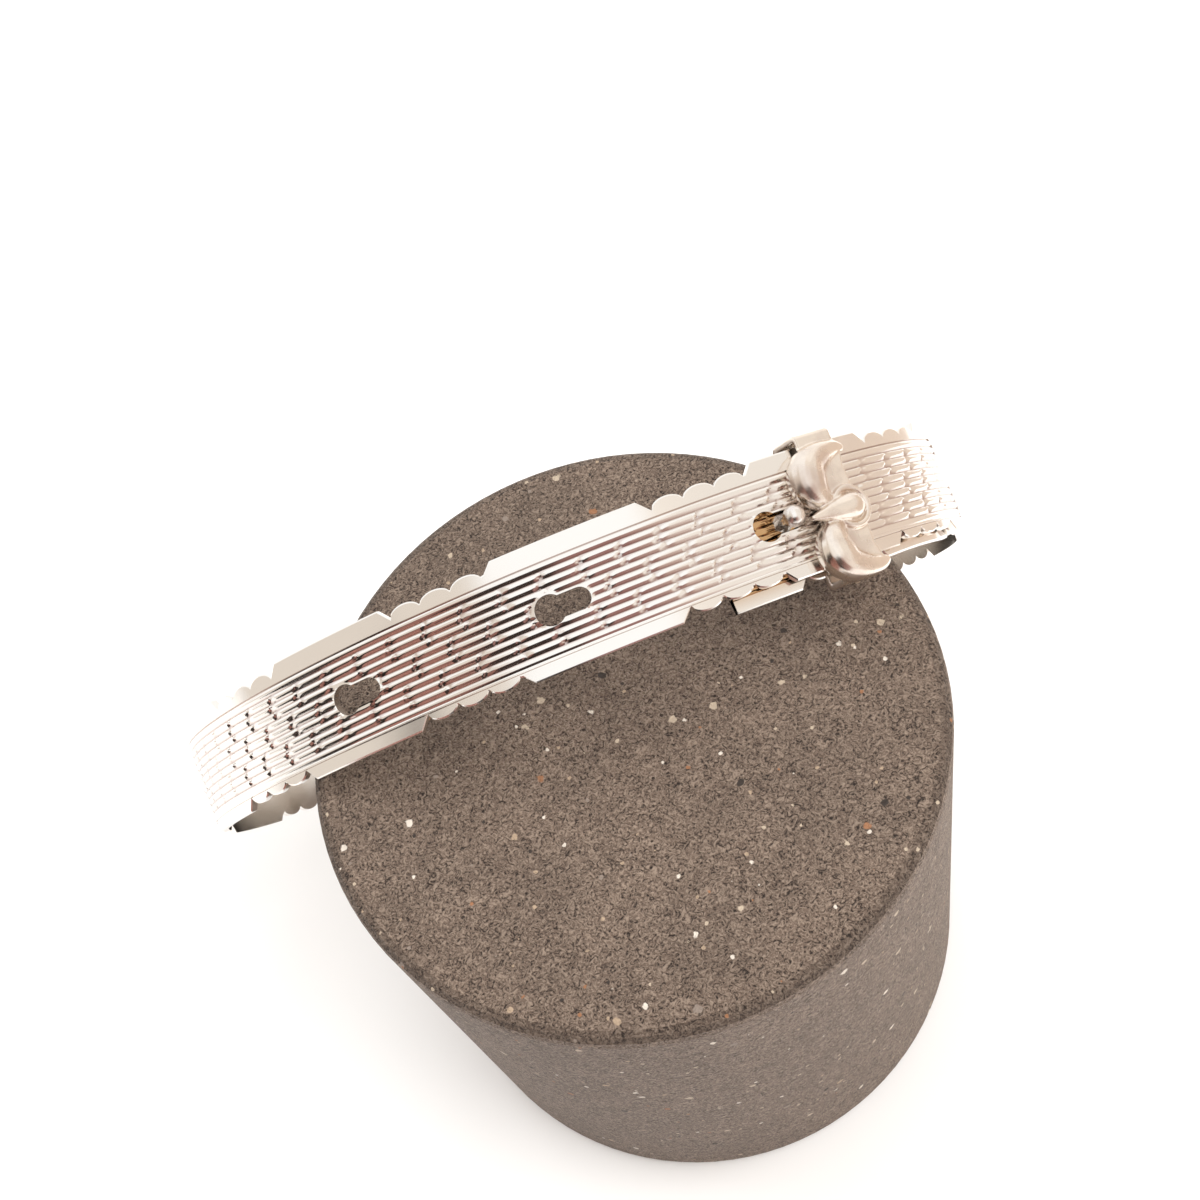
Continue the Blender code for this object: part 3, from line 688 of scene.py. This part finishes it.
def add_specks(tree, place, size, chance, radius):
    """Mask and random number of separate chips: one cell in so many holds a chip."""
    cells = add_node(tree, "ShaderNodeTexVoronoi", {}, {"Vector": place, "Scale": 1 / size})
    wobble = add_noise(tree, place, size / CHIP_WOBBLES, 2.0)
    channels = add_node(tree, "ShaderNodeSeparateColor", {}, {0: cells.outputs["Color"]})
    uneven = combine(tree, "MULTIPLY_ADD", wobble, CHIP_UNEVENNESS, cells.outputs["Distance"])
    edge = radius + CHIP_UNEVENNESS / 2
    near = map_range(tree, uneven, edge, edge + CHIP_EDGE_FADE, 1.0, 0.0)
    picked = combine(tree, "GREATER_THAN", channels.outputs[0], 1.0 - chance)
    return combine(tree, "MULTIPLY", near, picked), channels.outputs[1]


def speckled_stone(colours):
    """Honed composite stone: wormy dark and pale grain, painted shade on the rounded rim of the top, painted
    light on the sides, and chips of mixed colours.
    """
    material, tree, shader = new_material("speckled_stone")
    stone, pale, dark = (tuple(part) for part in (colours.stone, colours.stone_pale_and_side_light, colours.stone_dark_and_rim_shade))
    coordinates = add_node(tree, "ShaderNodeTexCoord", {}, {}).outputs
    place = coordinates["Object"]
    upright = add_node(tree, "ShaderNodeSeparateXYZ", {}, {0: coordinates["Normal"]}).outputs["Z"]
    cloud = add_noise(tree, place, STONE_CLOUD_SIZE, 3.0)
    grain = add_noise(tree, place, STONE_GRAIN_SIZE, 2.0, Roughness=0.6, Distortion=2.2)
    fine = add_noise(tree, place, STONE_FINE_SIZE, 2.0)
    body = mix_colours(tree, map_range(tree, grain, 0.36, 0.47), dark, stone)
    body = mix_colours(tree, map_range(tree, grain, 0.52, 0.62, 0.0, 0.75), body, pale)
    body = mix_colours(tree, map_range(tree, fine, 0.5, 0.68, 0.0, 0.5), body, pale)
    body = mix_colours(tree, map_range(tree, cloud, 0.35, 0.7, 0.0, 0.2), body, dark)
    # Painted light: the stand's sides are made paler the further they turn from upright
    body = mix_colours(tree, map_range(tree, upright, 0.9, 0.4, 0.0, 0.12), body, pale)
    # Painted shade: a dark band where the top turns down into the rounded rim
    rim_shade_turn = map_range(tree, upright, 0.998, 0.93, 0.0, 0.6)
    rim = combine(tree, "MULTIPLY", rim_shade_turn, map_range(tree, upright, 0.45, 0.85))
    body = mix_colours(tree, rim, body, dark)
    for size, chance, radius in CHIP_KINDS:
        mask, pick = add_specks(tree, place, size, chance, radius)
        body = mix_colours(tree, mask, body, add_ramp(tree, pick, CHIP_COLOURS, "CONSTANT"))
    tree.links.new(body, shader.inputs["Base Color"])
    add_bump(tree, shader, combine(tree, "MULTIPLY_ADD", fine, 0.4, grain), 1.0, STONE_PIT_DEPTH)
    tree.links.new(map_range(tree, grain, 0.3, 0.7, *STONE_ROUGHNESS), shader.inputs["Roughness"])
    return material


class BRACELET_OT_strip(bpy.types.Operator):
    """Roll the embossed strip round the loop and cut its keyholes"""
    bl_idname = "bracelet.strip"
    bl_label = "Embossed strip"

    def execute(self, context):
        sizes = context.scene.bracelet_sizes
        s = strip_columns()
        across, height, groove = strip_rows(s, sizes)
        rows, columns = across.shape
        bpy.ops.object.select_all(action="DESELECT")
        bpy.ops.mesh.primitive_grid_add(x_subdivisions=columns - 1, y_subdivisions=rows - 1, size=2)
        strip = context.object
        count = len(strip.data.vertices)
        flat = np.zeros(count * 3)
        strip.data.vertices.foreach_get("co", flat)
        column = np.rint((flat[0::3] + 1) / 2 * (columns - 1)).astype(int)
        row = np.rint((flat[1::3] + 1) / 2 * (rows - 1)).astype(int)
        s, v, height = s[column], across[row, column], height[row, column]
        slant = np.where(column == 0, -TONGUE_SLANT * v / (sizes.strip_width / 2), 0.0)
        strip.data.vertices.foreach_set("co", strip_place(s + slant, v, height, sizes).ravel())
        # Where the strap covers the tongue: there the colour is old tarnish and painted shade
        covered = covered_share(s, v, sizes) * (height > -sizes.strip_thickness / 2)
        for name, values in (("groove", groove[row, column]), ("covered", covered)):
            strip.data.attributes.new(name, "FLOAT", "POINT").data.foreach_set("value", values)
        strip.data.update()
        edit(strip, lambda: bpy.ops.mesh.remove_doubles(threshold=MERGE_DISTANCE),
             lambda: bpy.ops.mesh.select_all(action="DESELECT"),
             lambda: bpy.ops.mesh.select_non_manifold(),
             lambda: bpy.ops.mesh.fill_holes(sides=0),
             lambda: bpy.ops.mesh.select_all(action="SELECT"),
             lambda: bpy.ops.mesh.normals_make_consistent(inside=False))
        strip.matrix_world = bracelet_matrix(sizes)
        cutters = add_cutters(sizes)
        add_modifier(strip, "BOOLEAN", object=cutters, operation="DIFFERENCE", solver="EXACT")
        apply_modifiers(strip)
        bpy.data.objects.remove(cutters)
        material = rolled_silver(context.scene.bracelet_colours)
        finish_piece(strip, "embossed_strip", material, "band", STRIP_SHARP)
        return {"FINISHED"}


def front_place(row, side, sizes):
    """Place of a section on the buckle's front, centred over the loop."""
    along = sizes.front_length * (row["along"] - 0.5)
    return along, side * sizes.front_half_span * row["up"] - TONGUE_SIDE_PLAY / 2 - FRONT_DROP


def add_swell(sections, half_width, side, level, sizes):
    """A round bar whose width follows its sections, flattened into a dome."""
    curve = bpy.data.curves.new("swell", "CURVE")
    curve.dimensions = "3D"
    curve.bevel_depth = 1.0
    curve.bevel_resolution = 8
    curve.resolution_u = 10
    curve.use_fill_caps = True
    spline = curve.splines.new("NURBS")
    spline.points.add(len(sections) - 1)
    for point, row in zip(spline.points, sections):
        along, up = front_place(row, side, sizes)
        point.co = (along, up, 0.0, 1.0)
        point.radius = half_width * row["width"]
    spline.order_u = 3
    spline.use_endpoint_u = True
    swell = bpy.data.objects.new("swell", curve)
    bpy.context.collection.objects.link(swell)
    select_only(swell)
    bpy.ops.object.convert(target="MESH")
    swell.scale.z = SWELL_FLATNESS
    swell.location.z = level
    bpy.ops.object.transform_apply(location=True, rotation=False, scale=True)
    return swell


def add_loop(sizes):
    """The flat loop round both layers: a tube whose outer corners are rounded by its wall."""
    gap = FIT_GAP + BEND_ALLOWANCE
    low_y = -(sizes.strip_width / 2 + TONGUE_SIDE_PLAY + SIDE_GAP)
    high_y = sizes.strip_width / 2 + SIDE_GAP
    low_z = -(2 * sizes.strip_thickness + LAYER_GAP + gap)
    inner, outer = [], []
    for quarter, (y, z) in enumerate(((high_y, gap), (low_y, gap), (low_y, low_z), (high_y, low_z))):
        for step in range(LOOP_CORNER_STEPS + 1):
            angle = pi / 2 * (quarter + step / LOOP_CORNER_STEPS)
            inner.append((y, z))
            outer.append((y + sizes.loop_wall * cos(angle), z + sizes.loop_wall * sin(angle)))
    start, end = LOOP_PAST_FRONT - sizes.loop_length / 2, LOOP_PAST_FRONT + sizes.loop_length / 2
    rings = ((start, inner), (start, outer), (end, outer), (end, inner))
    count = len(inner)
    faces = []
    for number in range(len(rings)):
        near, far = number * count, (number + 1) % len(rings) * count
        for corner in range(count):
            following = (corner + 1) % count
            faces.append((near + corner, near + following, far + following, far + corner))
    mesh = bpy.data.meshes.new("loop")
    mesh.from_pydata([(x, y, z) for x, ring in rings for y, z in ring], [], faces)
    loop = bpy.data.objects.new("loop", mesh)
    bpy.context.collection.objects.link(loop)
    edit(loop, lambda: bpy.ops.mesh.remove_doubles(threshold=MERGE_DISTANCE),
         lambda: bpy.ops.mesh.normals_make_consistent(inside=False))
    return loop


class BRACELET_OT_buckle(bpy.types.Operator):
    """Cast the buckle: two lobes, their fields, the drop and its collar, on the loop"""
    bl_idname = "bracelet.buckle"
    bl_label = "Cast buckle"

    def execute(self, context):
        sizes = context.scene.bracelet_sizes
        colours = context.scene.bracelet_colours
        plate_top = FIT_GAP + BEND_ALLOWANCE + sizes.loop_wall
        parts = [add_loop(sizes)]
        for side in (1.0, -1.0):
            outline = [front_place(row, side, sizes) for row in FIELD_OUTLINE]
            parts.append(new_plate("field", outline, plate_top - FIELD_SINK, plate_top + FIELD_RISE))
            parts.append(add_swell(LOBE_SECTIONS, sizes.lobe_half_width, side, plate_top - LOBE_SINK, sizes))
        parts.append(add_swell(DROP_SECTIONS, sizes.drop_half_width, 1.0, plate_top + DROP_RISE, sizes))
        centre = front_place({"along": COLLAR_CENTRE_ALONG, "up": 0.0}, 1.0, sizes)
        bpy.ops.object.select_all(action="DESELECT")
        bpy.ops.mesh.primitive_torus_add(location=(*centre, plate_top + COLLAR_RISE), major_segments=64,
                                         major_radius=sizes.collar_radius, minor_segments=16,
                                         minor_radius=COLLAR_TUBE_RADIUS)
        parts.append(context.object)
        buckle = join(parts)
        add_modifier(buckle, "REMESH", mode="VOXEL", voxel_size=CAST_DETAIL, use_smooth_shade=True)
        add_modifier(buckle, "SMOOTH", factor=0.5, iterations=CAST_SOFTENING)
        apply_modifiers(buckle)
        buckle.matrix_world = seat_matrix(stud_length() + BUCKLE_FROM_STUD, sizes) @ buckle.matrix_world
        material = cast_silver("cast_silver", colours.cast_silver, colours.tarnish)
        finish_piece(buckle, "cast_buckle", material, "buckle", BUCKLE_SHARP)
        return {"FINISHED"}


class BRACELET_OT_stud(bpy.types.Operator):
    """Turn the ball-headed stud that holds the strap"""
    bl_idname = "bracelet.stud"
    bl_label = "Stud"

    def execute(self, context):
        sizes = context.scene.bracelet_sizes
        colours = context.scene.bracelet_colours
        foot_top = -(2 * sizes.strip_thickness + LAYER_GAP + FIT_GAP)
        ball_height = STUD_BALL_LIFT + sizes.ball_radius
        bpy.ops.object.select_all(action="DESELECT")
        bpy.ops.mesh.primitive_uv_sphere_add(segments=STUD_SIDES, ring_count=STUD_BALL_RINGS,
                                             radius=sizes.ball_radius,
                                             location=(0, -KEYHOLE_DROP, ball_height))
        stud = context.object
        post = (POST_RADIUS, foot_top - STUD_FOOT_THICKNESS / 2, ball_height)
        foot = (sizes.foot_radius, foot_top - STUD_FOOT_THICKNESS, foot_top)
        for radius, low, high in (post, foot):
            bpy.ops.object.select_all(action="DESELECT")
            bpy.ops.mesh.primitive_cylinder_add(vertices=STUD_SIDES, radius=radius, depth=high - low,
                                                location=(0, -KEYHOLE_DROP, (low + high) / 2))
            part = context.object
            add_modifier(part, "BEVEL", width=STUD_SOFT_EDGE, segments=2)
            apply_modifiers(part)
            add_modifier(stud, "BOOLEAN", object=part, operation="UNION", solver="EXACT")
            apply_modifiers(stud)
            bpy.data.objects.remove(part)
        stud.matrix_world = seat_matrix(stud_length(), sizes) @ stud.matrix_world
        material = cast_silver("stud_silver", colours.silver, colours.tarnish)
        finish_piece(stud, "ball_stud", material, "stud", STUD_SHARP)
        return {"FINISHED"}


class BRACELET_OT_stand(bpy.types.Operator):
    """Give the plain stand its speckled stone"""
    bl_idname = "bracelet.stand"
    bl_label = "Stone stand"

    def execute(self, context):
        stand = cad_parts["stand"]
        stand.data.materials.clear()
        stand.data.materials.append(speckled_stone(context.scene.bracelet_colours))
        select_only(stand)
        bpy.ops.object.shade_smooth_by_angle(angle=STAND_SHARP)
        return {"FINISHED"}


# What stands round the room, by degrees to the right of straight ahead
ROOM_AROUND = ((-180, "#ffffff"), (-114, "#ffffff"), (-104, "#ded5cb"), (-76, "#ded5cb"), (-71, "#2a2421"),
               (-54, "#2a2421"), (-51, "#8d645b"), (-30, "#93695f"), (-25, "#332b28"), (-3, "#3a302c"),
               (1, "#96706a"), (13, "#96706a"), (22, "#c0a59a"), (34, "#efe6de"), (84, "#ebe4dc"),
               (114, "#ebe4dc"), (124, "#fffaf3"), (180, "#ffffff"))
# The room overhead, by how far to the right a direction points, from -1 to 1
ROOM_OVERHEAD = ((-1.0, "#ded5cb"), (-0.40, "#ded5cb"), (-0.32, "#ffffff"), (0.3, "#ffffff"),
                 (0.4, "#f1e8de"), (0.6, "#ebe4dc"), (1.0, "#ebe4dc"))
# Cards that only mirrors see, on the floor around the stand: two corners (x, y) and a colour
CARDS = (((-0.176, -0.045), (-0.1405, -0.1015), "#2a2421"),
         ((-0.1405, -0.1015), (-0.064, -0.154), "#8d645b"),
         ((0.10, -0.06), (0.10, 0.09), "#dccdc0"))
CARD_HEIGHT = 0.07
ROOM_BAND_TOP = radians(46)
ROOM_BAND_FADE = radians(6)
ROOM_STRENGTH = 1.15
FLOOR_SIZE = 3.0
FLOOR_DROP = 0.02 * MM
# Soft lights: name, place, size, power in watts and what it points at
LIGHTS = (("window", (-0.25, 0.30, 0.45), 0.35, 1.2, (0, 0, 0.03)),
          ("fill", (0.35, -0.15, 0.45), 0.45, 2.4, (0.04, -0.02, 0.0)))

# The camera: its place and what it looks at, in shares of the stand's radius, and its turn
CAMERA_PLACE = (0.0715, -2.2552, 6.3925)
CAMERA_AIM = (0.061, 0.412, 1.845)
CAMERA_ROLL = radians(-20.24)
CAMERA_FOCAL_SHARE = 1.368
CAMERA_SHIFT = (-0.0017, 0.0033)
SENSOR = 36.0


class BRACELET_OT_stage(bpy.types.Operator):
    """Set the plain pale floor, the soft lights and the camera"""
    bl_idname = "bracelet.stage"
    bl_label = "Floor, lights and camera"

    def execute(self, context):
        low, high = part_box("stand")
        radius = (high.x - low.x) / 2
        bpy.ops.object.select_all(action="DESELECT")
        bpy.ops.mesh.primitive_plane_add(size=FLOOR_SIZE, location=(0, 0, low.z - FLOOR_DROP))
        floor = context.object
        floor.name = "floor"
        floor.data.materials.append(plain_material("pale_floor", context.scene.bracelet_colours.floor, 0.6))
        for start, end, code in CARDS:
            self.add_card(start, end, code)
        self.add_world(context)
        for light in LIGHTS:
            self.add_light(*light)
        context.scene.view_settings.view_transform = "Standard"
        self.add_camera(context, radius)
        return {"FINISHED"}

    def add_card(self, start, end, code):
        """A card that darkens what the silver mirrors and is left out of everything else."""
        corners = [(*start, 0.0), (*end, 0.0), (*end, CARD_HEIGHT), (*start, CARD_HEIGHT)]
        mesh = bpy.data.meshes.new("card")
        mesh.from_pydata(corners, [], [(0, 1, 2, 3)])
        card = bpy.data.objects.new("card", mesh)
        bpy.context.collection.objects.link(card)
        mesh.materials.append(plain_material("matt_card", linear_colour(code), 1.0))
        card.visible_camera = False
        card.visible_diffuse = False
        card.visible_shadow = False

    def add_world(self, context):
        """A bright soft room with a dark band in front for the silver to mirror, plain to the camera."""
        world = bpy.data.worlds.new("soft_room")
        world.use_nodes = True
        tree = world.node_tree
        direction = add_node(tree, "ShaderNodeTexCoord", {}, {}).outputs["Generated"]
        axes = add_node(tree, "ShaderNodeSeparateXYZ", {}, {0: direction})
        front = combine(tree, "MULTIPLY", axes.outputs["Y"], -1.0)
        turn = combine(tree, "ARCTAN2", axes.outputs["X"], front)
        around = add_ramp(tree, map_range(tree, turn, -pi, pi),
                          [(0.5 + angle / 360.0, code) for angle, code in ROOM_AROUND])
        overhead = add_ramp(tree, map_range(tree, axes.outputs["X"], -1.0, 1.0),
                            [(0.5 + side / 2, code) for side, code in ROOM_OVERHEAD])
        band_edge = (sin(ROOM_BAND_TOP), sin(ROOM_BAND_TOP - ROOM_BAND_FADE))
        low = map_range(tree, axes.outputs["Z"], *band_edge)
        room = mix_colours(tree, low, overhead, around)
        seen = add_node(tree, "ShaderNodeLightPath", {}, {}).outputs["Is Camera Ray"]
        colour = mix_colours(tree, seen, room, tuple(context.scene.bracelet_colours.floor))
        background = tree.nodes["Background"]
        tree.links.new(colour, background.inputs["Color"])
        background.inputs["Strength"].default_value = ROOM_STRENGTH
        context.scene.world = world

    def add_light(self, name, place, size, power, aim):
        light = bpy.data.lights.new(name, "AREA")
        light.energy = power
        light.size = size
        lamp = bpy.data.objects.new(name, light)
        bpy.context.collection.objects.link(lamp)
        lamp.location = place
        lamp.visible_glossy = False
        lamp.rotation_euler = (Vector(place) - Vector(aim)).to_track_quat("Z", "Y").to_euler()

    def add_camera(self, context, radius):
        place, aim = Vector(CAMERA_PLACE) * radius, Vector(CAMERA_AIM) * radius
        back = (place - aim).normalized()
        right = Vector((0, 0, 1)).cross(back).normalized()
        upright = Matrix((right, back.cross(right), back)).transposed()
        data = bpy.data.cameras.new("camera")
        data.sensor_width = SENSOR
        data.lens = CAMERA_FOCAL_SHARE * SENSOR
        data.clip_start = 1 * MM
        data.shift_x, data.shift_y = CAMERA_SHIFT
        camera = bpy.data.objects.new("camera", data)
        context.collection.objects.link(camera)
        turned = upright @ Matrix.Rotation(CAMERA_ROLL, 3, "Z")
        camera.matrix_world = Matrix.Translation(place) @ turned.to_4x4()
        context.scene.camera = camera


OPERATORS = (BRACELET_OT_strip, BRACELET_OT_buckle, BRACELET_OT_stud, BRACELET_OT_stand, BRACELET_OT_stage)


class BRACELET_PT_pieces(bpy.types.Panel):
    """Lists the bracelet's pieces, sizes and colours"""
    bl_idname = "BRACELET_PT_pieces"
    bl_label = "Buckle bracelet"
    bl_space_type = "VIEW_3D"
    bl_region_type = "UI"
    bl_category = "Bracelet"

    def draw(self, context):
        for group in (context.scene.bracelet_sizes, context.scene.bracelet_colours):
            box = self.layout.box()
            for name in group.__annotations__:
                box.prop(group, name)
        for operator in OPERATORS:
            self.layout.operator(operator.bl_idname)


CLASSES = (BraceletSizes, BraceletColours) + OPERATORS + (BRACELET_PT_pieces,)


def register():
    for item in CLASSES:
        bpy.utils.register_class(item)
    bpy.types.Scene.bracelet_sizes = PointerProperty(type=BraceletSizes)
    bpy.types.Scene.bracelet_colours = PointerProperty(type=BraceletColours)


def unregister():
    del bpy.types.Scene.bracelet_colours
    del bpy.types.Scene.bracelet_sizes
    for item in reversed(CLASSES):
        bpy.utils.unregister_class(item)


def main():
    register()
    bpy.ops.bracelet.strip()
    bpy.ops.bracelet.buckle()
    bpy.ops.bracelet.stud()
    bpy.ops.bracelet.stand()
    bpy.ops.bracelet.stage()


if __name__ == "__main__":
    main()
